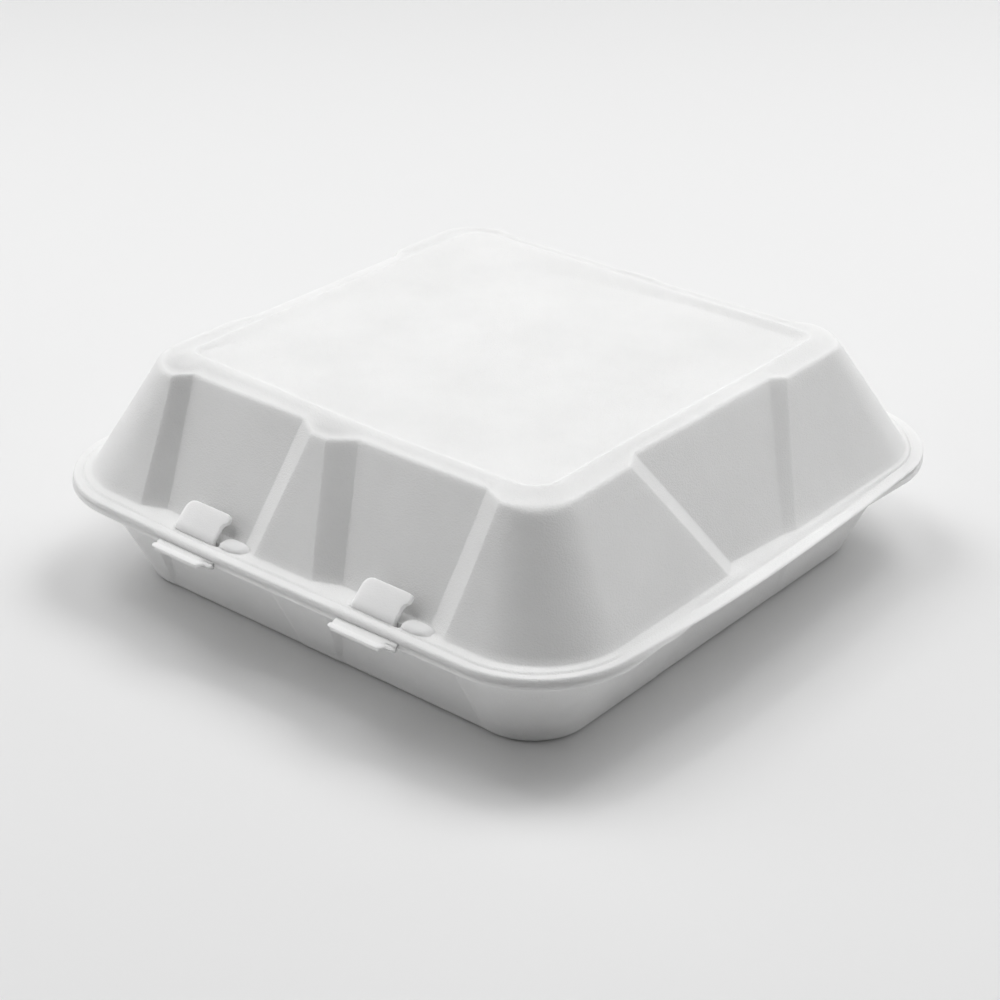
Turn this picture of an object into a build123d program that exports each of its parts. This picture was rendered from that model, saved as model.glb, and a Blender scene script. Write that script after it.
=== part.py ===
from build123d import *
from dataclasses import dataclass, fields, replace
import math
import os

# Hinged foam food container, closed and latched. All sizes are in millimetres.
# The origin is the middle of the tray's underside. +Z is up, the latches face -Y and the hinge is at +Y.

# Foam sheet
WALL = 2.2
FLANGE_THICKNESS = 1.85
SHEET_BEND_RADIUS = 1.2

# Parting plane between the two flanges
PARTING_HEIGHT = 36.4
PARTING_GAP = 0.3

# Outline of both flanges
FLANGE_HALF_X = 118.0
FLANGE_FRONT = 115.2
FLANGE_BACK = 115.2
FLANGE_SIDE_BOW = 3.2
FLANGE_FRONT_BOW = 0.7
FLANGE_CORNER_RADIUS = 37.0
TRAY_FLANGE_SIDE_SETBACK = 2.2

# Pressed line that runs round the lid's flange
GROOVE_INSET = 4.9
GROOVE_WIDTH = 1.0
GROOVE_DEPTH = 0.5

# Width of the lid's flange outside the walls
LID_FLANGE_SIDE_WIDTH = 9.2
LID_FLANGE_FRONT_WIDTH = 8.0
LID_FLANGE_BACK_WIDTH = 7.1

# Lid walls: how far they rise and lean in
LID_WALL_HEIGHT = 38.3
LID_SIDE_WALL_RUN = 21.6
LID_FRONT_WALL_RUN = 20.0
LID_BACK_WALL_RUN = 22.9

# Pleats of the lid's walls at their foot on the flange
LID_FOOT_CORNER_RADIUS = 30.0
LID_FOOT_CORNER_FLAT = 11.5
LID_FOOT_STEP = 4.6
LID_FOOT_RIB_HALF = 12.2
LID_FOOT_SIDE_HALF = 20.0

# Pleats of the lid's walls at their top edge
LID_TOP_CORNER_RADIUS = 16.5
LID_TOP_CORNER_FLAT = 1.4
LID_TOP_STEP = 4.1
LID_TOP_RIB_HALF = 4.6
LID_TOP_SIDE_HALF = 42.6
LID_STEP_SLOPE = 0.52
BACK_STEP_SHARE = 0.45

# Rounded rim of the lid and the sunk panel inside it
RIM_ROUND_HEIGHT = 3.0
RIM_ROUND_WIDTH = 4.4
RIM_ROUND_ANGLES = (45.0, 90.0)
PANEL_DEPTH = 1.6
PANEL_EDGE_RUN = 1.2
PANEL_CORNER_RADIUS = 8.0
RIM_WIDTH = 10.4

# Tray flange and walls, with pleats that fade out towards the floor
TRAY_FLANGE_SIDE_WIDTH = 10.6
TRAY_FLANGE_FRONT_WIDTH = 7.8
TRAY_FLANGE_BACK_WIDTH = 7.8
TRAY_WALL_RUN = 16.2
TRAY_TOP_STEP = 3.0
TRAY_FLOOR_STEP = 0.4
TRAY_STEP_SLOPE = 0.44
TRAY_TOP_CORNER_RADIUS = 29.0
TRAY_TOP_CORNER_FLAT = 12.9
TRAY_TOP_RIB_HALF = 14.0
TRAY_TOP_SIDE_HALF = 25.5
TRAY_FLOOR_CORNER_RADIUS = 19.0
TRAY_FLOOR_CORNER_FLAT = 0.5
TRAY_FLOOR_RIB_HALF = 7.5
TRAY_FLOOR_SIDE_HALF = 35.0
TRAY_EDGE_ROUND_WIDTH = 4.5
TRAY_EDGE_ROUND_HEIGHT = 4.0
TRAY_EDGE_ROUND_ANGLES = (90.0, 45.0, 0.0)

# Latch tabs: they stand on the tray's flange, pass the slots and lean over the lid's flange
TAB_SIDES_AND_SHIFTS = ((-1, 1.4), (1, -0.2))
TAB_WIDTH = 17.4
TAB_THICKNESS = 1.9
TAB_INSET = 5.0
TAB_BEND_ABOVE_PARTING = 2.45
TAB_LEAN = 50.0
TAB_SLOPE_LENGTH = 8.9
TAB_HEAD_LENGTH = 2.8
TAB_HEAD_SHOULDER = 1.4
TAB_HEAD_OVERHANG = 1.4
TAB_CORNER_RADIUS = 3.4
TAB_HOOK_RADIUS = 1.4
TAB_OUTER_BEND_RADIUS = 3.0
TAB_TIP_RADIUS = 0.8

# Slots in the lid's flange, by their clearance from the tabs
SLOT_CLEARANCE_FRONT = 0.2
SLOT_CLEARANCE_BACK = 0.6
SLOT_CLEARANCE_LEFT = 0.7
SLOT_LENGTH_PAST_TAB = 3.4

# Thumb lips of the tray's flange in front of the tabs
LIP_REACH = 3.3
LIP_LEFT_OVERLAP = 1.6
LIP_RIGHT_OVERLAP = 1.3
LIP_SHOULDER_REACH = 1.2
LIP_SHOULDER_WIDTH = 3.2
LIP_CHAMFER_RUN = 1.4
LIP_CORNER_RADIUS = 0.7
LIP_ROOT = 4.0

# Living hinge along the back edge
HINGE_END_SETBACK = 1.8
HINGE_BEAD_RADIUS = 0.8
HINGE_CLEARANCE = 0.3
HINGE_WEB_THICKNESS = 0.7

# Values worked out from the dimensions above
TRAY_RIM_TOP = PARTING_HEIGHT - PARTING_GAP / 2
LID_RIM_BOTTOM = PARTING_HEIGHT + PARTING_GAP / 2
LID_RIM_TOP = LID_RIM_BOTTOM + FLANGE_THICKNESS
LID_SHOULDER = LID_RIM_TOP + LID_WALL_HEIGHT
LID_HEIGHT = LID_SHOULDER + RIM_ROUND_HEIGHT
HINGE_Y = FLANGE_BACK + HINGE_CLEARANCE + HINGE_BEAD_RADIUS
HINGE_HALF_LENGTH = FLANGE_HALF_X - FLANGE_SIDE_BOW - FLANGE_CORNER_RADIUS - HINGE_END_SETBACK
TAB_FRONT = FLANGE_FRONT - TAB_INSET
CUT_MARGIN = 1.0


@dataclass
class WallSection:
    """Outline of the pleated walls at one height, seen from above."""

    height: float
    half_x: float
    front: float
    back: float
    corner_radius: float
    corner_flat: float
    step: float
    step_slope: float
    rib_half: float
    side_half: float

    @property
    def step_run(self):
        """Length along the wall of the slope into a recess."""
        return self.step / self.step_slope

    @property
    def corner_start(self):
        """Distance from the middle of the wall to where the recesses end beside the corners."""
        return self.half_x - self.corner_radius - self.corner_flat

    def at(self, other, height):
        """The outline on the straight wall between this section and another, at a height."""
        share = (height - self.height) / (other.height - self.height)
        values = {}
        for field in fields(self):
            start = getattr(self, field.name)
            values[field.name] = start + share * (getattr(other, field.name) - start)
        return WallSection(**values)

    def shrunk(self, inset, height):
        """The same outline pulled in by an inset and set at another height."""
        return replace(
            self,
            height=height,
            half_x=self.half_x - inset,
            front=self.front - inset,
            back=self.back - inset,
            corner_radius=self.corner_radius - inset,
        )


def pleat_points(section):
    """Two recesses beside a centre rib along a wall, as distance along the wall and depth behind it."""
    step = section.step
    run = section.step_run
    rib_half = section.rib_half
    corner_start = section.corner_start
    return [
        (-corner_start, 0.0),
        (-corner_start + run, step),
        (-rib_half - run, step),
        (-rib_half, 0.0),
        (rib_half, 0.0),
        (rib_half + run, step),
        (corner_start - run, step),
        (corner_start, 0.0),
    ]


def recess_points(section):
    """One recess in the middle of a wall, as distance along the wall and depth behind it."""
    step = section.step
    run = section.step_run
    half = section.side_half
    return [(-half, 0.0), (-half + run, step), (half - run, step), (half, 0.0)]


def wall_points(section):
    """Corner points of the outline, anticlockwise from the front left corner, with their radii."""
    pleats = pleat_points(section)
    recess = recess_points(section)
    walls = [
        [(along, -section.front + depth) for along, depth in pleats],
        [(section.half_x - depth, along) for along, depth in recess],
        [(-along, section.back - depth * BACK_STEP_SHARE) for along, depth in pleats],
        [(-section.half_x + depth, -along) for along, depth in recess],
    ]
    corners = [
        (-section.half_x, -section.front),
        (section.half_x, -section.front),
        (section.half_x, section.back),
        (-section.half_x, section.back),
    ]
    points = []
    radii = []
    for corner, wall in zip(corners, walls):
        points += [corner] + wall
        radii += [section.corner_radius] + [0.0] * len(wall)
    return points, radii


def inset_points(points, distance):
    """Move every side of a closed anticlockwise outline inwards by the same distance."""
    moved = []
    count = len(points)
    for i in range(count):
        before = Vector(*points[i - 1])
        here = Vector(*points[i])
        after = Vector(*points[(i + 1) % count])
        incoming = (here - before).normalized()
        outgoing = (after - here).normalized()
        normal_in = Vector(-incoming.Y, incoming.X)
        normal_out = Vector(-outgoing.Y, outgoing.X)
        bisector = normal_in + normal_out
        corner = here + bisector * (distance / bisector.dot(normal_in))
        moved.append((corner.X, corner.Y))
    return moved


def rounded_edges(points, radii):
    """Edges of a closed outline with a tangent arc at every corner that has a radius."""
    corners = []
    count = len(points)
    for i in range(count):
        before = Vector(*points[i - 1])
        here = Vector(*points[i])
        after = Vector(*points[(i + 1) % count])
        incoming = (here - before).normalized()
        outgoing = (after - here).normalized()
        turn = math.radians(incoming.get_angle(outgoing))
        reach = radii[i] * math.tan(turn / 2)
        corners.append((here - incoming * reach, here + outgoing * reach, incoming))
    edges = []
    for i, (start, end, direction) in enumerate(corners):
        if radii[i] > 0:
            edges.append(TangentArc(start, end, tangent=direction))
        edges.append(Line(end, corners[(i + 1) % count][0]))
    return edges


def rounded_outline(points, radii):
    """The same outline as a flat face."""
    return make_face(rounded_edges(points, radii))


def wall_edges(section, thickness=0.0):
    """The walls' outline at its height, pulled in by the sheet's thickness for the inside."""
    points, radii = wall_points(section)
    if thickness > 0:
        points = inset_points(points, thickness)
        radii = [r - thickness if r > 0 else 0.0 for r in radii]
    return [Pos(0, 0, section.height) * edge for edge in rounded_edges(points, radii)]


def wall_panel(lower, upper):
    """One face of a wall: flat between straight edges, ruled between rounded ones."""
    if lower.geom_type == GeomType.LINE:
        return Face(Wire.make_polygon([lower @ 0, lower @ 1, upper @ 1, upper @ 0]))
    return Face.make_surface_from_curves(lower, upper)


def stack(sections, thickness=0.0):
    """Closed body with straight drafted walls through a pile of outlines."""
    rings = [wall_edges(section, thickness) for section in sections]
    faces = [make_face(rings[0]).face(), make_face(rings[-1]).face()]
    for below, above in zip(rings, rings[1:]):
        faces += [wall_panel(lower, upper) for lower, upper in zip(below, above)]
    return Solid(Shell(faces))


def flange_face(side_setback=0.0, inset=0.0):
    """A flange's bowed and rounded outline: less bowed by a setback, pulled in all round by an inset."""
    corner_x = FLANGE_HALF_X - FLANGE_SIDE_BOW - FLANGE_CORNER_RADIUS
    side_x = FLANGE_HALF_X - FLANGE_CORNER_RADIUS - side_setback
    front_y = -(FLANGE_FRONT - FLANGE_CORNER_RADIUS)
    corner_y = front_y + FLANGE_FRONT_BOW
    back_y = FLANGE_BACK - FLANGE_CORNER_RADIUS
    front = ThreePointArc((-corner_x, corner_y), (0, front_y), (corner_x, corner_y))
    right = ThreePointArc((corner_x, corner_y), (side_x, 0), (corner_x, back_y))
    back = Line((corner_x, back_y), (-corner_x, back_y))
    left = ThreePointArc((-corner_x, back_y), (-side_x, 0), (-corner_x, corner_y))
    core = make_face([front, right, back, left])
    return offset(core, FLANGE_CORNER_RADIUS - inset)


def flange_plate(bottom, side_setback=0.0):
    return extrude(Pos(0, 0, bottom) * flange_face(side_setback), FLANGE_THICKNESS)


def lid_sections():
    """Outlines of the lid's walls at the flange and at the start of the rounded rim."""
    foot = WallSection(
        height=LID_RIM_TOP,
        half_x=FLANGE_HALF_X - LID_FLANGE_SIDE_WIDTH,
        front=FLANGE_FRONT - LID_FLANGE_FRONT_WIDTH,
        back=FLANGE_BACK - LID_FLANGE_BACK_WIDTH,
        corner_radius=LID_FOOT_CORNER_RADIUS,
        corner_flat=LID_FOOT_CORNER_FLAT,
        step=LID_FOOT_STEP,
        step_slope=LID_STEP_SLOPE,
        rib_half=LID_FOOT_RIB_HALF,
        side_half=LID_FOOT_SIDE_HALF,
    )
    shoulder = replace(
        foot,
        height=LID_SHOULDER,
        half_x=foot.half_x - LID_SIDE_WALL_RUN,
        front=foot.front - LID_FRONT_WALL_RUN,
        back=foot.back - LID_BACK_WALL_RUN,
        corner_radius=LID_TOP_CORNER_RADIUS,
        corner_flat=LID_TOP_CORNER_FLAT,
        step=LID_TOP_STEP,
        rib_half=LID_TOP_RIB_HALF,
        side_half=LID_TOP_SIDE_HALF,
    )
    return foot, shoulder


def tray_sections():
    """Outlines of the tray's walls at the height of its floor and at the top of its flange."""
    top = WallSection(
        height=TRAY_RIM_TOP,
        half_x=FLANGE_HALF_X - TRAY_FLANGE_SIDE_WIDTH,
        front=FLANGE_FRONT - TRAY_FLANGE_FRONT_WIDTH,
        back=FLANGE_BACK - TRAY_FLANGE_BACK_WIDTH,
        corner_radius=TRAY_TOP_CORNER_RADIUS,
        corner_flat=TRAY_TOP_CORNER_FLAT,
        step=TRAY_TOP_STEP,
        step_slope=TRAY_STEP_SLOPE,
        rib_half=TRAY_TOP_RIB_HALF,
        side_half=TRAY_TOP_SIDE_HALF,
    )
    floor = replace(
        top,
        height=0.0,
        half_x=top.half_x - TRAY_WALL_RUN,
        front=top.front - TRAY_WALL_RUN,
        back=top.back - TRAY_WALL_RUN,
        corner_radius=TRAY_FLOOR_CORNER_RADIUS,
        corner_flat=TRAY_FLOOR_CORNER_FLAT,
        step=TRAY_FLOOR_STEP,
        rib_half=TRAY_FLOOR_RIB_HALF,
        side_half=TRAY_FLOOR_SIDE_HALF,
    )
    return floor, top


def horizontal_thickness(lower, upper):
    """How far the inside of a drafted wall lies behind its outside, measured level."""
    run = abs(upper.half_x - lower.half_x)
    rise = abs(upper.height - lower.height)
    return WALL * math.hypot(run, rise) / rise


def lid_shell():
    """Drafted, pleated walls with a rounded rim, open below."""
    foot, shoulder = lid_sections()
    level = horizontal_thickness(foot, shoulder)
    bottom = foot.at(shoulder, LID_RIM_BOTTOM)
    outer = [bottom, shoulder]
    inner = [foot.at(shoulder, LID_RIM_BOTTOM - CUT_MARGIN), shoulder.at(foot, LID_SHOULDER - WALL / 2)]
    for angle in RIM_ROUND_ANGLES:
        inset = RIM_ROUND_WIDTH * (1 - math.cos(math.radians(angle)))
        rise = RIM_ROUND_HEIGHT * math.sin(math.radians(angle))
        outer.append(shoulder.shrunk(inset, LID_SHOULDER + rise))
    rim_end = shoulder.shrunk(RIM_ROUND_WIDTH, LID_HEIGHT)
    inner.append(rim_end.shrunk(0.0, LID_HEIGHT - WALL))
    return stack(outer) - stack(inner, level)


def panel_face(height, inset=0.0):
    """The sunk panel's outline at a height."""
    shoulder = lid_sections()[1]
    edge = RIM_WIDTH + inset
    centre_y = (shoulder.back - shoulder.front) / 2
    width = 2 * (shoulder.half_x - edge)
    depth = shoulder.front + shoulder.back - 2 * edge
    return Pos(0, centre_y, height) * RectangleRounded(width, depth, PANEL_CORNER_RADIUS - inset)


def sink_panel(shell):
    """Press the flat panel into the lid's top and keep the sheet's thickness below it."""
    floor = LID_HEIGHT - PANEL_DEPTH
    pocket = loft([panel_face(floor, PANEL_EDGE_RUN), panel_face(LID_HEIGHT)], ruled=True)
    underside = extrude(panel_face(floor - WALL, PANEL_EDGE_RUN - WALL), WALL)
    return shell + underside - pocket


def tab_left_edges():
    """Where each latch tab starts, near the middle of the front wall's recesses."""
    foot = lid_sections()[0]
    recess_start = foot.rib_half + foot.step_run
    recess_end = foot.corner_start - foot.step_run
    recess_middle = (recess_start + recess_end) / 2
    return [side * recess_middle + shift - TAB_WIDTH / 2 for side, shift in TAB_SIDES_AND_SHIFTS]


def slot_cutters():
    """Slots that the latch tabs pass through."""
    front = -TAB_FRONT - SLOT_CLEARANCE_FRONT
    back = -TAB_FRONT + TAB_THICKNESS + SLOT_CLEARANCE_BACK
    length = SLOT_CLEARANCE_LEFT + TAB_WIDTH + SLOT_LENGTH_PAST_TAB
    cutters = []
    for left in tab_left_edges():
        centre_x = left - SLOT_CLEARANCE_LEFT + length / 2
        centre_y = (front + back) / 2
        outline = RectangleRounded(length, back - front, SHEET_BEND_RADIUS)
        base = Pos(centre_x, centre_y, LID_RIM_BOTTOM - CUT_MARGIN) * outline
        cutters.append(extrude(base, FLANGE_THICKNESS + 2 * CUT_MARGIN))
    return cutters


def groove_cutter():
    """The pressed line round the lid's flange."""
    outer = flange_face(inset=GROOVE_INSET)
    inner = flange_face(inset=GROOVE_INSET + GROOVE_WIDTH)
    return extrude(Pos(0, 0, LID_RIM_TOP - GROOVE_DEPTH) * (outer - inner), GROOVE_DEPTH)


def make_lid():
    shell = lid_shell()
    foot, shoulder = lid_sections()
    level = horizontal_thickness(foot, shoulder)
    mouth = stack([foot.at(shoulder, LID_RIM_BOTTOM - CUT_MARGIN), foot.at(shoulder, LID_RIM_TOP)], level)
    flange = flange_plate(LID_RIM_BOTTOM)
    flange = flange - groove_cutter() - mouth
    for cutter in slot_cutters():
        flange = flange - cutter
    return sink_panel(shell) + flange


def tray_shell():
    """Drafted, pleated walls and a flat floor with a rounded lower edge."""
    floor, top = tray_sections()
    level = horizontal_thickness(floor, top)
    outer = []
    for angle in TRAY_EDGE_ROUND_ANGLES:
        inset = TRAY_EDGE_ROUND_WIDTH * (1 - math.cos(math.radians(angle)))
        height = TRAY_EDGE_ROUND_HEIGHT * (1 - math.sin(math.radians(angle)))
        section = floor.at(top, TRAY_EDGE_ROUND_HEIGHT)
        outer.append(section.shrunk(inset, height))
    outer.append(top)
    inner_corner = floor.at(top, TRAY_EDGE_ROUND_HEIGHT + WALL)
    inner = [
        inner_corner.shrunk(TRAY_EDGE_ROUND_WIDTH - WALL, WALL),
        inner_corner,
        floor.at(top, TRAY_RIM_TOP + CUT_MARGIN),
    ]
    return stack(outer) - stack(inner, level)


def tab_profile():
    """Side view of a latch tab: upright through the slot, then leaning towards the lid's wall."""
    lean = math.radians(TAB_LEAN)
    front = -TAB_FRONT
    back = front + TAB_THICKNESS
    root = TRAY_RIM_TOP - FLANGE_THICKNESS / 2
    bend_back = PARTING_HEIGHT + TAB_BEND_ABOVE_PARTING
    bend_front = bend_back + TAB_THICKNESS * math.tan(lean / 2)
    up_slope = Vector(math.sin(lean), math.cos(lean))
    through = Vector(math.cos(lean), -math.sin(lean)) * TAB_THICKNESS
    tip_front = Vector(front, bend_front) + up_slope * TAB_SLOPE_LENGTH
    tip_back = tip_front + through
    points = [
        (front, root),
        (front, bend_front),
        (tip_front.X, tip_front.Y),
        (tip_back.X, tip_back.Y),
        (back, bend_back),
        (back, root),
    ]
    radii = [0, TAB_OUTER_BEND_RADIUS, TAB_TIP_RADIUS, TAB_TIP_RADIUS, SHEET_BEND_RADIUS, 0]
    return Plane.YZ * rounded_outline(points, radii), bend_front


def make_tab(left):
    """A latch tab with a head that is wider on its right side."""
    profile, bend_front = tab_profile()
    right = left + TAB_WIDTH
    head_right = right + TAB_HEAD_OVERHANG
    body = extrude(Pos(left, 0, 0) * profile, head_right - left)
    lean = math.radians(TAB_LEAN)
    normal = (0, -math.cos(lean), math.sin(lean))
    face_plane = Plane(origin=(0, -TAB_FRONT, bend_front), x_dir=(1, 0, 0), z_dir=normal)
    shoulder = TAB_SLOPE_LENGTH - TAB_HEAD_LENGTH
    low = -TAB_SLOPE_LENGTH
    points = [
        (left, low),
        (right, low),
        (right, shoulder - TAB_HEAD_SHOULDER),
        (head_right, shoulder),
        (head_right, TAB_SLOPE_LENGTH),
        (left, TAB_SLOPE_LENGTH),
    ]
    radii = [0, 0, TAB_TIP_RADIUS, TAB_TIP_RADIUS, TAB_HOOK_RADIUS, TAB_CORNER_RADIUS]
    prism = extrude(face_plane * rounded_outline(points, radii), 3 * TAB_THICKNESS, both=True)
    return body & prism


def thumb_lip(left):
    """The part of the tray's flange that stands out in front of a tab, with a lower shoulder beside it."""
    start = left - LIP_LEFT_OVERLAP
    end = left + TAB_WIDTH + LIP_RIGHT_OVERLAP
    edge = -FLANGE_FRONT
    notch = edge - LIP_SHOULDER_REACH
    points = [
        (start, edge + LIP_ROOT),
        (start, edge - LIP_REACH),
        (end, edge - LIP_REACH),
        (end + LIP_CHAMFER_RUN, notch),
        (end + LIP_CHAMFER_RUN + LIP_SHOULDER_WIDTH, notch),
        (end + LIP_CHAMFER_RUN + LIP_SHOULDER_WIDTH, edge + LIP_ROOT),
    ]
    radii = [0, LIP_CORNER_RADIUS, LIP_CORNER_RADIUS, 0, LIP_CORNER_RADIUS / 2, 0]
    outline = rounded_outline(points, radii)
    return extrude(Pos(0, 0, TRAY_RIM_TOP - FLANGE_THICKNESS) * outline, FLANGE_THICKNESS)


def living_hinge():
    """The thin fold along the back: a bead on the hinge line, held by a web from the tray's flange."""
    length = 2 * HINGE_HALF_LENGTH
    centre = Plane(origin=(-HINGE_HALF_LENGTH, HINGE_Y, PARTING_HEIGHT), z_dir=(1, 0, 0))
    bead = extrude(centre * Circle(HINGE_BEAD_RADIUS), length)
    web_depth = HINGE_Y - FLANGE_BACK + WALL
    web_top = TRAY_RIM_TOP - HINGE_CLEARANCE
    web_centre_z = web_top - HINGE_WEB_THICKNESS / 2
    web = Pos(0, HINGE_Y - web_depth / 2, web_centre_z) * Box(length, web_depth, HINGE_WEB_THICKNESS)
    return bead + web


def make_tray():
    floor, top = tray_sections()
    level = horizontal_thickness(floor, top)
    bottom = TRAY_RIM_TOP - FLANGE_THICKNESS
    mouth = stack([floor.at(top, bottom - CUT_MARGIN), floor.at(top, TRAY_RIM_TOP + CUT_MARGIN)], level)
    flange = flange_plate(bottom, TRAY_FLANGE_SIDE_SETBACK)
    for left in tab_left_edges():
        flange = flange + thumb_lip(left)
    flange = flange + living_hinge() - mouth
    tray = tray_shell() + flange
    for left in tab_left_edges():
        tray = tray + make_tab(left)
    return tray


os.makedirs("parts", exist_ok=True)
export_step(make_tray(), "parts/tray.step")
export_step(make_lid(), "parts/lid.step")
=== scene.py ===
import bmesh
import bpy
import math
import numpy as np
from mathutils import Matrix, Vector


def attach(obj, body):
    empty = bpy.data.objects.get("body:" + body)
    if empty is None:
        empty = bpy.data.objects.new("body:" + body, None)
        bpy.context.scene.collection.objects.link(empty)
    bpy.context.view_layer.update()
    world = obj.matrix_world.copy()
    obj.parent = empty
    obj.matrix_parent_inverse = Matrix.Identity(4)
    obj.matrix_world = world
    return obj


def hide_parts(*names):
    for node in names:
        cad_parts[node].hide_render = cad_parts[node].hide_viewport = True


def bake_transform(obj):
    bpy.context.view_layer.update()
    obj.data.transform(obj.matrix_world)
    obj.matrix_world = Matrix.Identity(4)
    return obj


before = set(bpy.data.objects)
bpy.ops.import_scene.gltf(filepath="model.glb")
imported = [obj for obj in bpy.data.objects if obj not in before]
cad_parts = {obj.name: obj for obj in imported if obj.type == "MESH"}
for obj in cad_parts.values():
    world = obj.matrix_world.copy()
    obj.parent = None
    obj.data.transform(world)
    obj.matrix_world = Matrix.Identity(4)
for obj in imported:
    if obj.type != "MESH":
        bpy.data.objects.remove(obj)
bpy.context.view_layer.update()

# Looks of a hinged foam food container. Sizes in this file are millimetres until a mesh is made.
MM = 0.001

# Sizes shared with the rigid parts
WALL = 2.2
FLANGE_THICKNESS = 1.85
TRAY_RIM_TOP = 36.25
LID_RIM_BOTTOM = 36.55
LID_RIM_TOP = LID_RIM_BOTTOM + FLANGE_THICKNESS
LID_WALL_HEIGHT = 38.3
LID_SHOULDER = LID_RIM_TOP + LID_WALL_HEIGHT
LID_HEIGHT = LID_SHOULDER + 3.0
PANEL_DEPTH = 1.6
PANEL_FLOOR = LID_HEIGHT - PANEL_DEPTH
FLANGE_HALF_X = 118.0
FLANGE_HALF_Y = 115.2
FLANGE_CORNER_RADIUS = 37.0
FLANGE_FRONT_BOW = 0.7
HINGE_Z = 36.4
TAB_LEFTS = (-47.05, 30.85)
TAB_WIDTH = 17.4
TAB_FRONT = -110.2

# The two flanges as they lie on one another
TRAY_FACE = 36.38
LID_FACE = 36.40

# Inset of the inside walls, which is a little more than the sheet because the walls slope
LID_INNER_INSET = WALL * 1.14
TRAY_INNER_INSET = WALL * 1.1

# How finely the walls' outline is divided between the places where it bends
SOFT_PARTS = 4
RAMP_PARTS = 4
RECESS_PARTS = 14
CORNER_PARTS = 24
LONG_PLAIN_PARTS = (4, RECESS_PARTS, 6, RECESS_PARTS, 4)
SIDE_PLAIN_PARTS = (12, RECESS_PARTS, 12)

# The back wall's recesses are shallower than those in front
BACK_SHARE = 0.45

# Smallest radius that a corner keeps when its outline is pulled in
LEAST_RADIUS = 0.6


def smooth(t):
    """Soft step from 0 to 1."""
    t = np.clip(t, 0, 1)
    return t * t * (3 - 2 * t)


def soft_ramp(x, run, soft):
    """0 before the ramp and 1 after its run, with each end rounded over the soft length."""

    def area(t):
        t = np.asarray(t, dtype=float)
        inside = np.clip(t, 0, run)
        return inside * inside / (2 * run) + np.maximum(t - run, 0)

    return (area(x + soft / 2) - area(x - soft / 2)) / soft


def divide(edges, counts):
    """Even steps between neighbouring edges, with the given number of steps in each."""
    values = [edges[0]]
    for a, b, n in zip(edges, edges[1:], counts):
        values += [a + (b - a) * (k + 1) / n for k in range(n)]
    return np.array(values)


def corner(centre, radius, start, bow_first, bow_last):
    """Quarter turn of an outline, moved in at each end as far as the bowed walls are there."""
    t = np.linspace(0, 1, CORNER_PARTS + 1)
    angle = np.radians(start + 90 * t)
    x = centre[0] + radius * np.cos(angle)
    y = centre[1] + radius * np.sin(angle)
    inward = {-90: ((0, 1), (-1, 0)), 0: ((-1, 0), (0, -1)), 90: ((0, -1), (1, 0)), 180: ((1, 0), (0, 1))}
    first, last = inward[start]
    x += first[0] * bow_first + last[0] * bow_last
    y += first[1] * bow_first + last[1] * bow_last
    return np.stack([x, y], 1)


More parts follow.
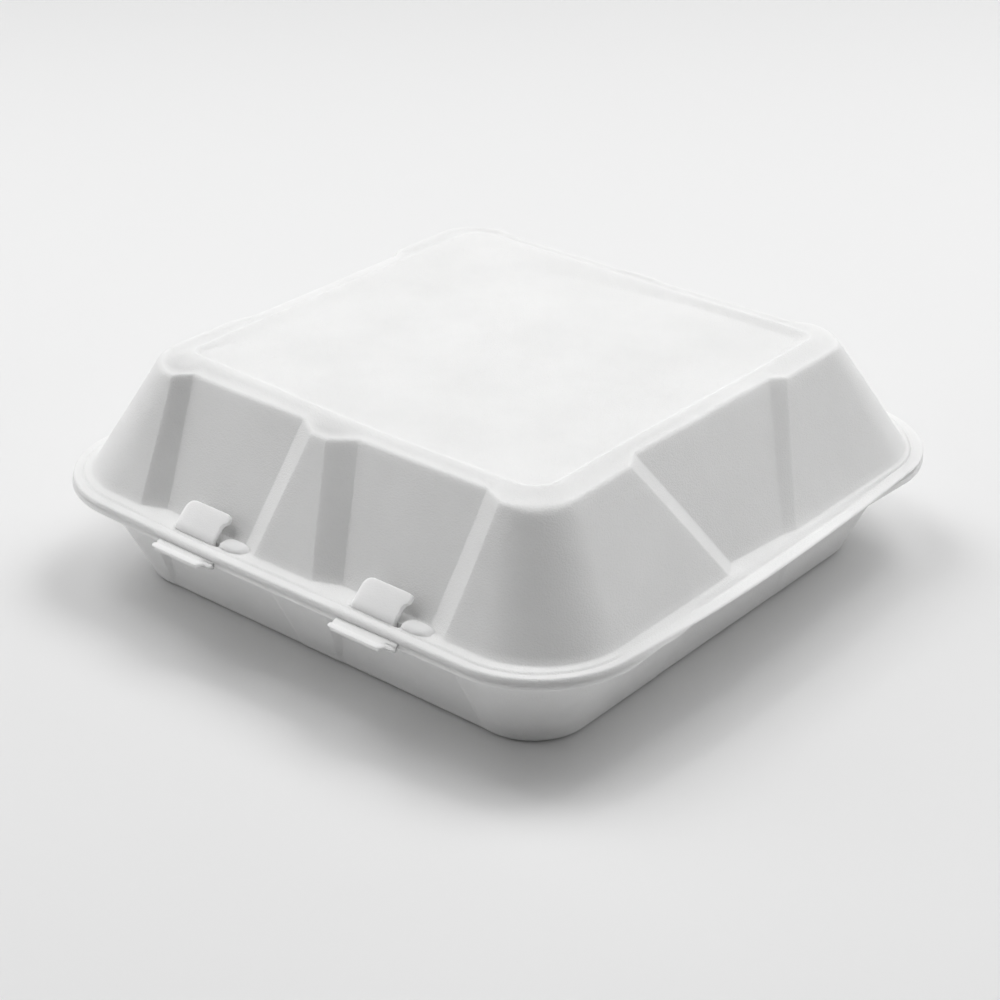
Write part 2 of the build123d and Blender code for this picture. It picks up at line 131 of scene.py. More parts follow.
class Outline:
    """Outline of the walls at one height: a rounded square with soft-edged recesses.

    The radii belong to the front left, front right, back right and back left corners. Bends are the
    places where the front wall turns into and out of its recesses, and side bends those of the side
    walls. The taper is the share of its depth that the right wall's recess loses towards the back.
    """

    def __init__(
        self, half_x, front, back, radii, step, bends, side_bends,
        soft=1.1, bow_x=0.0, bow_front=0.0, taper=0.62,
    ):
        self.half_x = half_x
        self.front = front
        self.back = back
        self.radii = radii
        self.step = step
        self.bends = bends
        self.side_bends = side_bends
        self.soft = soft
        self.bow_x = bow_x
        self.bow_front = bow_front
        self.taper = taper

    def moved(self, inset, **changes):
        """The same outline pulled in by an inset."""
        values = dict(self.__dict__)
        values["half_x"] = self.half_x - inset
        values["front"] = self.front - inset
        values["back"] = self.back - inset
        values["radii"] = tuple(max(r - inset, LEAST_RADIUS) for r in self.radii)
        values.update(changes)
        return Outline(**values)

    def mixed(self, other, share):
        """The outline between this one and another."""
        values = {}
        for name, a in self.__dict__.items():
            b = getattr(other, name)
            if isinstance(a, tuple):
                values[name] = tuple(p + share * (q - p) for p, q in zip(a, b))
            else:
                values[name] = a + share * (b - a)
        return Outline(**values)

    def samples(self, low, high, bends, plain_parts):
        """Places along a wall from its first corner to its last, closest together where it bends."""
        w = self.soft / 2
        edges = [low]
        counts = []
        for k, bend in enumerate(bends):
            edges += [bend - w, bend + w]
            counts += [RAMP_PARTS if k % 2 else plain_parts[k // 2], SOFT_PARTS]
        edges.append(high)
        counts.append(plain_parts[-1])
        return divide(edges, counts)

    def long_samples(self, low, high):
        """Places along a wall with two recesses."""
        return self.samples(low, high, self.bends, LONG_PLAIN_PARTS)

    def side_samples(self, low, high, bends):
        """Places along a wall with one recess."""
        return self.samples(low, high, bends, SIDE_PLAIN_PARTS)

    def left_bends(self):
        """Bends of the left wall, whose recess has the same soft flank at both ends."""
        first, second = self.side_bends[:2]
        return (first, second, -second, -first)

    def depth(self, u, bends):
        """How far a wall lies behind its outermost plane: each pair of bends leads in or out of a recess."""
        total = 0.0
        for k in range(0, len(bends), 2):
            ramp = soft_ramp(u - bends[k], bends[k + 1] - bends[k], self.soft)
            total = total + (ramp if k % 4 == 0 else -ramp)
        return self.step * total

    def recess_depth(self):
        """How far each point of the outline lies behind the same outline without recesses."""
        return np.linalg.norm(self.points() - self.moved(0, step=0.0).points(), axis=1)

    def points(self):
        """Points of the outline, anticlockwise from the front wall's left end."""
        fl, fr, br, bl = self.radii
        hx, f, b = self.half_x, self.front, self.back
        parts = []
        u = self.long_samples(-hx + fl + self.bow_x, hx - fr - self.bow_x)
        bow = self.bow_front * (u / u[-1]) ** 2
        parts.append(np.stack([u, -f + self.depth(u, self.bends) + bow], 1))
        parts.append(corner((hx - fr, -f + fr), fr, -90, self.bow_front, self.bow_x))
        u = self.side_samples(-f + fr + self.bow_front, b - br, self.side_bends)
        bow = self.bow_x * (u / u[-1]) ** 2
        along = (u - self.side_bends[1]) / (self.side_bends[2] - self.side_bends[1])
        shallow = 1 - self.taper * np.clip(along, 0, 1)
        parts.append(np.stack([hx - self.depth(u, self.side_bends) * shallow - bow, u], 1))
        parts.append(corner((hx - br, b - br), br, 0, self.bow_x, 0.0))
        u = self.long_samples(-hx + bl + self.bow_x, hx - br - self.bow_x)[::-1]
        parts.append(np.stack([u, b - self.depth(u, self.bends) * BACK_SHARE], 1))
        parts.append(corner((-hx + bl, b - bl), bl, 90, 0.0, self.bow_x))
        u = self.side_samples(-f + fl + self.bow_front, b - bl, self.left_bends())[::-1]
        bow = self.bow_x * (u / u[0]) ** 2
        parts.append(np.stack([-hx + self.depth(u, self.left_bends()) + bow, u], 1))
        parts.append(corner((-hx + fl, -f + fl), fl, 180, self.bow_x, self.bow_front))
        return np.concatenate([p[:-1] for p in parts])


def ring(outline, z):
    """Points of an outline with their height, which may differ from point to point."""
    xy = outline.points() if isinstance(outline, Outline) else outline
    height = np.broadcast_to(np.asarray(z, dtype=float).reshape(-1, 1), (len(xy), 1))
    return np.concatenate([xy, height], 1)


def between(a, b, shares):
    """Rings between two rings of points."""
    return [a + (b - a) * s for s in shares]


def link(name, mesh):
    """New object in the scene that shows a mesh."""
    obj = bpy.data.objects.new(name, mesh)
    bpy.context.scene.collection.objects.link(obj)
    return obj


def closed_mesh(name, rings):
    """Mesh through a pile of rings, closed by a fan at each end."""
    count = len(rings[0])
    verts = np.concatenate(rings)
    centre_low = rings[0].mean(axis=0)
    centre_high = rings[-1].mean(axis=0)
    verts = np.concatenate([verts, centre_low[None], centre_high[None]]) * MM
    faces = []
    low = len(rings) * count
    high = low + 1
    last = (len(rings) - 1) * count
    for j in range(count):
        k = (j + 1) % count
        faces.append((low, k, j))
        faces.append((high, last + j, last + k))
    for i in range(len(rings) - 1):
        a = i * count
        b = a + count
        for j in range(count):
            k = (j + 1) % count
            faces.append((a + j, a + k, b + k, b + j))
    mesh = bpy.data.meshes.new(name)
    mesh.from_pydata([tuple(v) for v in verts], [], faces)
    mesh.update()
    bm = bmesh.new()
    bm.from_mesh(mesh)
    bmesh.ops.recalc_face_normals(bm, faces=bm.faces)
    bm.to_mesh(mesh)
    bm.free()
    mesh.shade_smooth()
    return link(name, mesh)


# The lid's outlines, with the places where the pleated walls bend
FOOT_STEP = 4.6
FOOT_BENDS = (-66.35, -57.95, -21.55, -14.1, 11.45, 20.3, 56.75, 65.6)
FOOT_SIDE_BENDS = (-20.0, -12.9, 13.4, 18.4)
SHOULDER_BENDS = (-70.0, -64.2, -14.5, -6.55, 0.0, 10.05, 61.5, 69.3)
SHOULDER_SIDE_BENDS = (-42.6, -35.1, 34.8, 40.8)
lid_foot = Outline(
    half_x=108.8, front=107.2, back=108.1, radii=(30.0,) * 4,
    step=FOOT_STEP, bends=FOOT_BENDS, side_bends=FOOT_SIDE_BENDS,
)
lid_shoulder = Outline(
    half_x=87.2, front=87.2, back=85.2, radii=(16.5,) * 4,
    step=4.1, bends=SHOULDER_BENDS, side_bends=SHOULDER_SIDE_BENDS, taper=0.3,
)
flange_edge = Outline(
    half_x=FLANGE_HALF_X, front=FLANGE_HALF_Y, back=FLANGE_HALF_Y, radii=(FLANGE_CORNER_RADIUS,) * 4,
    step=0.0, bends=FOOT_BENDS, side_bends=FOOT_SIDE_BENDS, bow_x=3.2, bow_front=FLANGE_FRONT_BOW,
)

# The panel's edge and the foot of its wide slope, with bends that only set where their points lie
panel_edge = Outline(
    half_x=76.0, front=75.2, back=74.2, radii=(5.0, 9.0, 4.0, 10.0),
    step=0.0, bends=(-64, -57, -13, -6, 0, 9, 56, 63), side_bends=(-40, -33, 34, 39),
)
panel_slope = Outline(
    half_x=60.0, front=60.0, back=58.2, radii=(3.0, 3.0, 3.0, 14.0),
    step=0.0, bends=(-43, -38, -12, -6, 0, 8, 42, 48), side_bends=(-33, -27, 29, 32),
)

# Panel: how far its floor sinks in the middle and rises at its left edge
PANEL_SAG = 0.25
PANEL_SAG_HALF = 80
PANEL_LEFT_RISE = 0.6
PANEL_STEP_RUN = 1.2

# Rim: heights of its outer edge, which is higher over recesses, on the right and at the left corner
RIM_EDGE = 77.2
RIM_RISE_PER_DEPTH = 0.3
RIM_RIGHT_RISE = 1.25
RIM_LEFT_FALL = 0.6
RIM_LEFT_END_RISE = 0.7
RIM_LEFT_CORNER_RISE = 0.9
RIM_RIGHT_RECESS_RISE = 0.6

# Rim: bead beside the panel, as distances from its crest with the fall there
BEAD_PROFILE = ((0.3, 0.0), (0.7, 0.1), (1.6, 0.36), (2.0, 0.42))
BEAD_WIDTH, BEAD_FALL = BEAD_PROFILE[-1]

# Rim: shares of the way from the bead to the turn with the share of the fall there
BAND_PROFILE = ((0.2, 0.3), (0.4, 0.56), (0.6, 0.74), (0.8, 0.83), (1.0, 0.86))
RIM_TURN = 1.0
RIM_CORNER_TURN = 2.4

# Flange of the lid between the wall and its pressed line
PLATEAU = 0.38
FOOT_ROUND = 0.45

# Pressed line: insets from the flange's edge of its start, its bottom and its outer side
GROOVE_BEGIN = 4.3
GROOVE_BOTTOM = 3.5
GROOVE_OUT = 2.9
GROOVE_DEPTH = 0.24
GROOVE_NEARER_AT_CORNER = 0.5

# Edge of the lid's flange
EDGE_ROUND = 0.6
EDGE_ROUND_BY_TAB = 1.6
EDGE_LEAN = 0.45
EDGE_UNDERCUT = 2.4


def panel_height(xy):
    """The panel's floor, which sinks a little in its middle and rises towards its left edge."""
    x, y = xy[:, 0], xy[:, 1]
    sag = PANEL_SAG * (1 - (x / PANEL_SAG_HALF) ** 2) * (1 - (y / PANEL_SAG_HALF) ** 2)
    return PANEL_FLOOR - sag + PANEL_LEFT_RISE * smooth((-48 - x) / 22)


def turned(xy):
    """The panel's front line turned a little: it lies further back at its left end."""
    x, y = xy[:, 0], xy[:, 1]
    back = 2.4 * smooth((30 - x) / 110) * smooth(-y / 70)
    return np.stack([x, y + back], 1)


def panel_floor_edge():
    """Where the panel's floor begins: close to its edge in front, in a wide soft slope at the far corner."""
    close = turned(panel_edge.moved(PANEL_STEP_RUN).points())
    x, y = close[:, 0], close[:, 1]
    far_corner = smooth((75 - x) / 150) * smooth((y + 76) / 150)
    left_edge = 0.4 * smooth((-55 - x) / 15) * smooth((y + 76) / 25)
    back_edge = 0.2 * smooth((y - 40) / 30)
    share = np.maximum(np.maximum(far_corner, left_edge), back_edge)
    return close + (panel_slope.points() - close) * share[:, None]


def flange_line(inset):
    """Line on the flange at an inset from its edge that may differ from point to point."""
    width = 10.0
    edge = flange_edge.points()
    inner = flange_edge.moved(width).points()
    return edge + (inner - edge) * (np.asarray(inset) / width).reshape(-1, 1)


def groove_share(x, y):
    """Share of its depth that the pressed line keeps: it fades out on the right near the front corner."""
    gap = np.clip((y + 82) / 6, 0, 1) * np.clip((-36 - y) / 10, 0, 1)
    return np.where(x > 100, 1 - gap, 1.0)


def lid_wall(z):
    """The lid's wall points at heights that may differ from point to point."""
    foot = lid_foot.points()
    share = (z - LID_RIM_TOP) / LID_WALL_HEIGHT
    return foot + (lid_shoulder.points() - foot) * share[:, None]


def panel_rings(inner_edge, rim_inner):
    """The panel from its middle to the crest of its edge."""
    rings = []
    for share in (0.1, 0.25, 0.4, 0.55, 0.7, 0.82, 0.9, 0.96, 0.985):
        edge = inner_edge * share
        rings.append(ring(edge, panel_height(edge)))
    crest = LID_HEIGHT - 0.08
    for share in (0.0, 0.12, 0.25, 0.4, 0.55, 0.7, 0.85, 1.0):
        xy = inner_edge + (rim_inner - inner_edge) * share
        floor_height = panel_height(xy)
        rings.append(ring(xy, floor_height + (crest - floor_height) * share ** 1.6))
    return rings


def rim_edge_height():
    """Height of the rim's outer edge above each point of the wall."""
    x, y = lid_shoulder.points().T
    right_side = smooth((x - 55) / 14)
    rise = np.maximum(RIM_RISE_PER_DEPTH * lid_shoulder.recess_depth(), RIM_RIGHT_RISE * right_side)
    edge_z = RIM_EDGE + rise - RIM_LEFT_FALL * smooth((-20 - x) / 40)
    edge_z += RIM_LEFT_END_RISE * smooth((-62 - x) / 8) + RIM_LEFT_CORNER_RISE * smooth((-76 - x) / 8)
    edge_z += RIM_RIGHT_RECESS_RISE * right_side * smooth((y + 10) / 30) * smooth((42 - y) / 4)
    return edge_z


def rim_turn():
    """How far the turn of the rim's edge reaches to each side: it is rounder at the corners."""
    x, y = lid_shoulder.points().T
    at_corner = smooth((np.abs(x) - 72) / 9) * smooth((np.abs(y) - 71) / 9)
    return RIM_TURN + (RIM_CORNER_TURN - RIM_TURN) * at_corner


def rim_rings(rim_inner, edge_z, turn):
    """The rim: a thin bead beside the panel, a gentle fall and a rounded turn into the wall."""
    rings = []
    edge = lid_wall(edge_z)
    inward = rim_inner - edge
    reach = np.linalg.norm(inward, axis=1)
    for distance, drop in BEAD_PROFILE:
        rings.append(ring(rim_inner - inward * (distance / reach)[:, None], LID_HEIGHT - drop))
    first = BEAD_WIDTH / reach
    last = 1 - turn / reach
    fall = LID_HEIGHT - edge_z
    for along, gone in BAND_PROFILE:
        share = first + (last - first) * along
        band_point = rim_inner - inward * share[:, None]
        band_z = LID_HEIGHT - BEAD_FALL - (fall - BEAD_FALL) * gone
        if along < 1:
            rings.append(ring(band_point, band_z))
    wall_point = lid_wall(edge_z - turn)
    for t in np.linspace(0, 1, 8):
        xy = band_point * (1 - t) ** 2 + edge * 2 * t * (1 - t) + wall_point * t ** 2
        z = band_z * (1 - t) ** 2 + edge_z * 2 * t * (1 - t) + (edge_z - turn) * t ** 2
        rings.append(ring(xy, z))
    return rings


def wall_rings(top, raised):
    """The wall from the rim's turn to its rounded foot on the flange."""
    rings = []
    low = LID_RIM_TOP + raised + 0.3
    for share in np.linspace(0.06, 1.0, 18):
        z = top + (low - top) * share
        rings.append(ring(lid_wall(z), z))
    rings.append(ring(lid_foot.moved(-0.1), LID_RIM_TOP + raised + 0.06))
    rings.append(ring(lid_foot.moved(-FOOT_ROUND), LID_RIM_TOP + raised))
    return rings


def lid_flange_rings(raised):
    """The lid's flange from the wall's foot over its pressed line and its edge to its underside."""
    rings = []
    start = lid_foot.moved(-FOOT_ROUND).points()
    x, y = start.T
    room = np.linalg.norm(flange_edge.points() - start, axis=1)

    # The pressed line is wider along the right side and nearer to the edge at the front corner
    wide = 2.3 + 0.9 * smooth((26 - y) / 8) + 0.5 * smooth((y + 30) / 12)
    wide = wide * smooth((y + 50) / 6) * smooth((x - 90) / 12)
    nearer = GROOVE_NEARER_AT_CORNER * smooth((x - 70) / 20) * smooth((-70 - y) / 15)
    begin = np.minimum(GROOVE_BEGIN + wide - nearer, room - 0.7)
    bottom = np.minimum(GROOVE_BOTTOM + 0.45 * wide - nearer, begin - 0.5)
    out = np.minimum(GROOVE_OUT + 0.45 * wide - nearer, bottom - 0.4)
    pressed = groove_share(x, y)
    deep = (GROOVE_DEPTH + 0.19 * wide) * pressed
    groove_in = flange_line(begin)
    for share in (0.2, 0.4, 0.6, 0.8, 1.0):
        level = raised * (pressed + (1 - pressed) * (1 - share))
        rings.append(ring(start + (groove_in - start) * share, LID_RIM_TOP + level))
    rings.append(ring(flange_line((begin + bottom) / 2), LID_RIM_TOP + (raised * pressed - deep) * 0.5))
    rings.append(ring(flange_line(bottom), LID_RIM_TOP - deep))
    rings.append(ring(flange_line((bottom + out) / 2), LID_RIM_TOP - deep * 0.45))

    # Edge: its face leans out to its foot, and on the right side it is undercut instead
    by_tab = sum(smooth((x - left + 5) / 3) * smooth((left + TAB_WIDTH + 9 - x) / 3) for left in TAB_LEFTS)
    edge_round = EDGE_ROUND + (EDGE_ROUND_BY_TAB - EDGE_ROUND) * by_tab * (y < -100)
    cut_share = smooth((x - 90) / 15) * smooth((y + 60) / 18)
    undercut = EDGE_UNDERCUT * cut_share
    lean = EDGE_LEAN * (1 - cut_share)
    edge_height = LID_RIM_TOP - LID_FACE
    groove_out = flange_line(out)
    edge_top = flange_line(edge_round + lean)
    for share in (0.0, 0.3, 0.65, 1.0):
        rings.append(ring(groove_out + (edge_top - groove_out) * share, LID_RIM_TOP))
    for k in range(1, 6):
        angle = math.radians(18 * k)
        drop = edge_round * (1 - math.cos(angle))
        inset = edge_round * (1 - math.sin(angle)) + lean * (1 - drop / edge_height)
        rings.append(ring(flange_line(inset), LID_RIM_TOP - drop))
    rings.append(ring(flange_line(0.75 * undercut + lean * 0.12), LID_FACE + 0.25))
    rings.append(ring(flange_line(0.95 * undercut + lean * 0.02), LID_FACE + 0.05))
    under = ring(flange_line(undercut + 0.05), LID_FACE)
    rings.append(under)
    mouth = ring(lid_foot.moved(LID_INNER_INSET), LID_FACE)
    rings += between(under, mouth, (0.35, 0.7, 0.94))
    return rings


def lid_inside_rings(inner_edge):
    """The inside of the lid from its mouth to the middle of the panel's underside."""
    rings = [ring(lid_foot.moved(LID_INNER_INSET + 0.1), LID_FACE + 0.4)]
    for share in np.linspace(0.03, 0.97, 10):
        outline = lid_foot.mixed(lid_shoulder, share).moved(LID_INNER_INSET)
        rings.append(ring(outline, LID_RIM_TOP + LID_WALL_HEIGHT * share))
    for k in (1, 2, 3):
        angle = math.radians(30 * k)
        inset = LID_INNER_INSET + 2.6 * (1 - math.cos(angle))
        rings.append(ring(lid_shoulder.moved(inset), LID_SHOULDER - 1.2 + 1.6 * math.sin(angle)))
    rings.append(ring(panel_edge.moved(-1.0), LID_HEIGHT - WALL))
    for share in (0.995, 0.8, 0.5, 0.2):
        edge = inner_edge * share
        rings.append(ring(edge, panel_height(edge) - WALL))
    return rings


def lid_rings():
    """The lid's skin from the middle of its panel round the rim and the flange to its inside."""
    inner_edge = panel_floor_edge()
    rim_inner = turned(panel_edge.points())
    edge_z = rim_edge_height()
    turn = rim_turn()

    # The flange lies a little higher between the outermost parts of the wall and its pressed line
    raised = PLATEAU * (1 - lid_foot.recess_depth() / FOOT_STEP)
    rings = panel_rings(inner_edge, rim_inner)
    rings += rim_rings(rim_inner, edge_z, turn)
    rings += wall_rings(edge_z - turn, raised)
    rings += lid_flange_rings(raised)
    rings += lid_inside_rings(inner_edge)
    return rings


# The tray's outlines
TRAY_STEP = 3.0
TRAY_BENDS = (-65.5, -58.7, -20.8, -14.0, 14.0, 20.8, 58.7, 65.5)
TRAY_SIDE_BENDS = (-25.5, -18.7, 18.7, 25.5)
TRAY_FLOOR_BENDS = (-70.2, -69.0, -8.7, -7.5, 7.5, 8.7, 69.0, 70.2)
TRAY_FLOOR_SIDE_BENDS = (-35.0, -33.8, 33.8, 35.0)
tray_top = Outline(
    half_x=107.4, front=107.4, back=107.4, radii=(29.0,) * 4,
    step=TRAY_STEP, bends=TRAY_BENDS, side_bends=TRAY_SIDE_BENDS,
)
tray_floor = Outline(
    half_x=91.6, front=91.6, back=91.6, radii=(20.0,) * 4,
    step=0.2, bends=TRAY_FLOOR_BENDS, side_bends=TRAY_FLOOR_SIDE_BENDS,
)
tray_flange = Outline(
    half_x=112.8, front=FLANGE_HALF_Y, back=FLANGE_HALF_Y, radii=(FLANGE_CORNER_RADIUS,) * 4,
    step=0.0, bends=TRAY_BENDS, side_bends=TRAY_SIDE_BENDS, bow_x=-2.0, bow_front=FLANGE_FRONT_BOW,
)

# The tray's rounded lower edge, outside and inside, and the edge of its flange, which leans out to its foot
BASE_ROUND_RUN = 3.0
BASE_ROUND_HEIGHT = 2.7
INNER_ROUND_RUN = 2.8
INNER_ROUND_HEIGHT = 4.5
TRAY_EDGE_ROUND = 0.4
TRAY_EDGE_LEAN = 0.25


def tray_wall(z):
    """The tray's wall outline at a height: its pleats fade out close to the floor."""
    share = z / TRAY_RIM_TOP
    return tray_floor.mixed(tray_top, share).moved(0, step=TRAY_STEP * max(share - 0.05, 0) ** 0.7)


def tray_outside_rings(under):
    """The tray from the middle of its underside to the underside of its flange."""
    rings = []
    bottom = tray_floor.moved(BASE_ROUND_RUN)
    for share in (0.15, 0.4, 0.7, 0.9, 0.97):
        rings.append(ring(bottom.points() * share, 0.0))
    base = tray_wall(BASE_ROUND_HEIGHT)
    for k in range(0, 9):
        angle = math.radians(90 - 11.25 * k)
        inset = BASE_ROUND_RUN * (1 - math.cos(angle))
        rings.append(ring(base.moved(inset), BASE_ROUND_HEIGHT * (1 - math.sin(angle))))
    for z in np.linspace(3.7, under - 1.2, 16):
        rings.append(ring(tray_wall(z), z))
    top = tray_wall(under)
    rings.append(ring(top.moved(-0.2), under - 0.5))
    rings.append(ring(top.moved(-0.6), under - 0.1))
    rings.append(ring(top.moved(-1.4), under))
    return rings


def tray_flange_rings(start, under):
    """The tray's flange from its underside round its edge to its mouth."""
    edge_under = ring(tray_flange.moved(TRAY_EDGE_ROUND - TRAY_EDGE_LEAN), under)
    rings = between(start, edge_under, (0.35, 0.7, 1.0))
    for k in range(1, 5):
        angle = math.radians(22.5 * k)
        inset = TRAY_EDGE_ROUND * (1 - math.sin(angle)) - TRAY_EDGE_LEAN
        rings.append(ring(tray_flange.moved(inset), under + TRAY_EDGE_ROUND * (1 - math.cos(angle))))
    rings.append(ring(tray_flange.moved(0.15), TRAY_FACE - 0.25))
    rings.append(ring(tray_flange.moved(0.2), TRAY_FACE - 0.05))
    edge_top = ring(tray_flange.moved(0.25), TRAY_FACE)
    rings.append(edge_top)
    mouth = ring(tray_top.moved(TRAY_INNER_INSET), TRAY_FACE)
    rings += between(edge_top, mouth, (0.4, 0.8, 0.96))
    return rings


def tray_inside_rings():
    """The inside of the tray from its mouth to the middle of its floor."""
    rings = [ring(tray_top.moved(TRAY_INNER_INSET + 0.15), TRAY_RIM_TOP - 0.4)]
    for z in np.linspace(TRAY_RIM_TOP - 1.2, 8.0, 9):
        rings.append(ring(tray_wall(z).moved(TRAY_INNER_INSET), z))
    round_top = WALL + INNER_ROUND_HEIGHT
    low = tray_wall(round_top)
    for k in range(0, 6):
        angle = math.radians(18 * k)
        inset = TRAY_INNER_INSET + INNER_ROUND_RUN * (1 - math.cos(angle))
        rings.append(ring(low.moved(inset), round_top - INNER_ROUND_HEIGHT * math.sin(angle)))
    inner = tray_floor.moved(TRAY_INNER_INSET + INNER_ROUND_RUN)
    for share in (0.97, 0.7, 0.4, 0.15):
        rings.append(ring(inner.points() * share, WALL))
    return rings


def tray_rings():
    """The tray's skin from the middle of its underside round the flange to its inside."""
    under = TRAY_FACE - FLANGE_THICKNESS
    rings = tray_outside_rings(under)
    rings += tray_flange_rings(rings[-1], under)
    rings += tray_inside_rings()
    return rings


# Unevenness of the thin foam, and the height from which it is full
FLEX = 0.25
FLEX_FULL_HEIGHT = 36.0


def flex(obj):
    """Slight unevenness of thin foam: both halves wander together, so their flanges stay apart."""
    for v in obj.data.vertices:
        x, y, z = v.co
        wave = math.sin(x * 31 + 1.3) * math.sin(y * 27 + 0.4) + 0.6 * math.sin(x * 57 - y * 44 + 2.0)
        rise = min(max(z / (FLEX_FULL_HEIGHT * MM), 0), 1)
        v.co.z += wave * FLEX * MM * rise
        v.co.x += math.sin(y * 38 + z * 60 + 0.7) * FLEX * MM * rise
        v.co.y += math.sin(x * 35 - z * 55 + 2.1) * FLEX * MM * rise


def apply_modifiers(obj):
    """Keep the modified mesh as the object's own."""
    graph = bpy.context.evaluated_depsgraph_get()
    mesh = bpy.data.meshes.new_from_object(obj.evaluated_get(graph))
    obj.modifiers.clear()
    obj.data = mesh


# Slots in the lid's flange: their front and back, and how far they reach past a tab at each end
SLOT_FRONT = TAB_FRONT - 0.02
SLOT_BACK = -107.9
SLOT_LEFT_ROOM = 0.5
SLOT_RIGHT_ROOM = 2.4
SLOT_RADIUS = 1.2


def slot_cutter(left, right):
    """Rounded bar that cuts one slot through the lid's flange."""
    r = SLOT_RADIUS
    corners = (
        (right - r, SLOT_FRONT + r, -90),
        (right - r, SLOT_BACK - r, 0),
        (left + r, SLOT_BACK - r, 90),
        (left + r, SLOT_FRONT + r, 180),
    )
    points = []
    for cx, cy, start in corners:
        for k in range(7):
            a = math.radians(start + 15 * k)
            points.append((cx + r * math.cos(a), cy + r * math.sin(a)))
    bm = bmesh.new()
    low = [bm.verts.new((x * MM, y * MM, (LID_RIM_BOTTOM - 3) * MM)) for x, y in points]
    high = [bm.verts.new((x * MM, y * MM, (LID_RIM_TOP + 3) * MM)) for x, y in points]
    bm.faces.new(low[::-1])
    bm.faces.new(high)
    for k in range(len(points)):
        n = (k + 1) % len(points)
        bm.faces.new((low[k], low[n], high[n], high[k]))
    mesh = bpy.data.meshes.new("slot_cutter")
    bm.to_mesh(mesh)
    bm.free()
    return link("slot_cutter", mesh)


def cut_slots(lid):
    """Cut both slots and drop the cutters."""
    for left in TAB_LEFTS:
        cutter = slot_cutter(left - SLOT_LEFT_ROOM, left + TAB_WIDTH + SLOT_RIGHT_ROOM)
        cut = lid.modifiers.new("slot", "BOOLEAN")
        cut.operation = "DIFFERENCE"
        cut.solver = "MANIFOLD"
        cut.object = cutter
        apply_modifiers(lid)
        bpy.data.objects.remove(cutter)


def sheet_from_rows(name, rows, thickness, bevel):
    """Thick sheet from rows of points, each row a list of places across it."""
    count = len(rows[0])
    verts = [tuple(c * MM for c in p) for row in rows for p in row]
    faces = []
    for i in range(len(rows) - 1):
        for j in range(count - 1):
            a = i * count + j
            faces.append((a, a + 1, a + count + 1, a + count))
    mesh = bpy.data.meshes.new(name)
    mesh.from_pydata(verts, [], faces)
    obj = link(name, mesh)
    solid = obj.modifiers.new("thickness", "SOLIDIFY")
    solid.thickness = thickness * MM
    solid.offset = 0.0
    edge = obj.modifiers.new("edges", "BEVEL")
    edge.width = bevel * MM
    edge.segments = 3
    edge.limit_method = "ANGLE"
    edge.angle_limit = math.radians(50)
    apply_modifiers(obj)
    obj.data.shade_smooth()
    return obj


# Latch tabs: lengths along their middle surface from the tray's flange, and their lean
TAB_THICKNESS = 1.9
TAB_LENGTH = 13.45
TAB_STRAIGHT = 2.4
TAB_BEND = 2.2
TAB_LEAN = math.radians(47)
TAB_HEAD = 2.9
TAB_OVERHANG = 1.4
TAB_LEFT_RADIUS = 3.4
TAB_RIGHT_RADIUS = 1.5
TAB_CROWN = 0.25
TAB_FOOT_Z = TRAY_RIM_TOP - 1.0


def tab_centre_line(length):
    """Place on the tab's middle surface, as y and z, at a length above the flange."""
    y0 = TAB_FRONT + TAB_THICKNESS / 2
    radius = TAB_BEND / TAB_LEAN
    if length <= TAB_STRAIGHT:
        return y0, TAB_FOOT_Z + length
    if length <= TAB_STRAIGHT + TAB_BEND:
        a = (length - TAB_STRAIGHT) / radius
        return y0 + radius * (1 - math.cos(a)), TAB_FOOT_Z + TAB_STRAIGHT + radius * math.sin(a)
    rest = length - TAB_STRAIGHT - TAB_BEND
    y1 = y0 + radius * (1 - math.cos(TAB_LEAN))
    z1 = TAB_FOOT_Z + TAB_STRAIGHT + radius * math.sin(TAB_LEAN)
    return y1 + rest * math.sin(TAB_LEAN), z1 + rest * math.cos(TAB_LEAN)


def corner_setback(length, radius):
    """How far a rounded top corner of the tab lies inside its side at a length."""
    over = length - TAB_LENGTH + radius
    if over <= 0:
        return 0.0
    return radius - math.sqrt(max(radius * radius - over ** 2, 0))


def make_tab(name, left, seed):
    """Latch tab: upright through its slot, then leaning back, with a head wider on its right."""
    rng = np.random.default_rng(seed)
    right = left + TAB_WIDTH
    middle = (left + right) / 2
    neck = TAB_LENGTH - TAB_HEAD
    lengths = divide([0, 2.2, 5.0, neck - 1.6, neck, TAB_LENGTH - 1.6, TAB_LENGTH], [4, 6, 6, 4, 5, 6])
    count = 16
    rows = []
    for s in lengths:
        x0 = left + corner_setback(s, TAB_LEFT_RADIUS)
        x1 = right + TAB_OVERHANG * float(soft_ramp(s - (neck - 1.2), 1.3, 0.8))
        x1 -= corner_setback(s, TAB_RIGHT_RADIUS)
        x1 += rng.normal(0, 0.09) if 6 < s < neck else 0
        y, z = tab_centre_line(s)
        row = []
        for k in range(count + 1):
            x = x0 + (x1 - x0) * k / count
            crown = TAB_CROWN * (1 - ((x - middle) / 10) ** 2) * min(s / 8, 1)
            row.append((x, y - crown * 0.7, z + crown * 0.7))
        rows.append(row)
    return sheet_from_rows(name, rows, TAB_THICKNESS, 0.5)


# Thumb lips: where they begin and end beside a tab, how far they stand out, and their rounded ends
LIP_ROOT = -115.0
LIP_LEFT_ROOM = 1.6
LIP_RIGHT_ROOM = 1.1
LIP_REACH = 3.9
LIP_NARROW_REACH = 1.6
LIP_NARROW_LENGTH = 4.6
LIP_END = 0.8

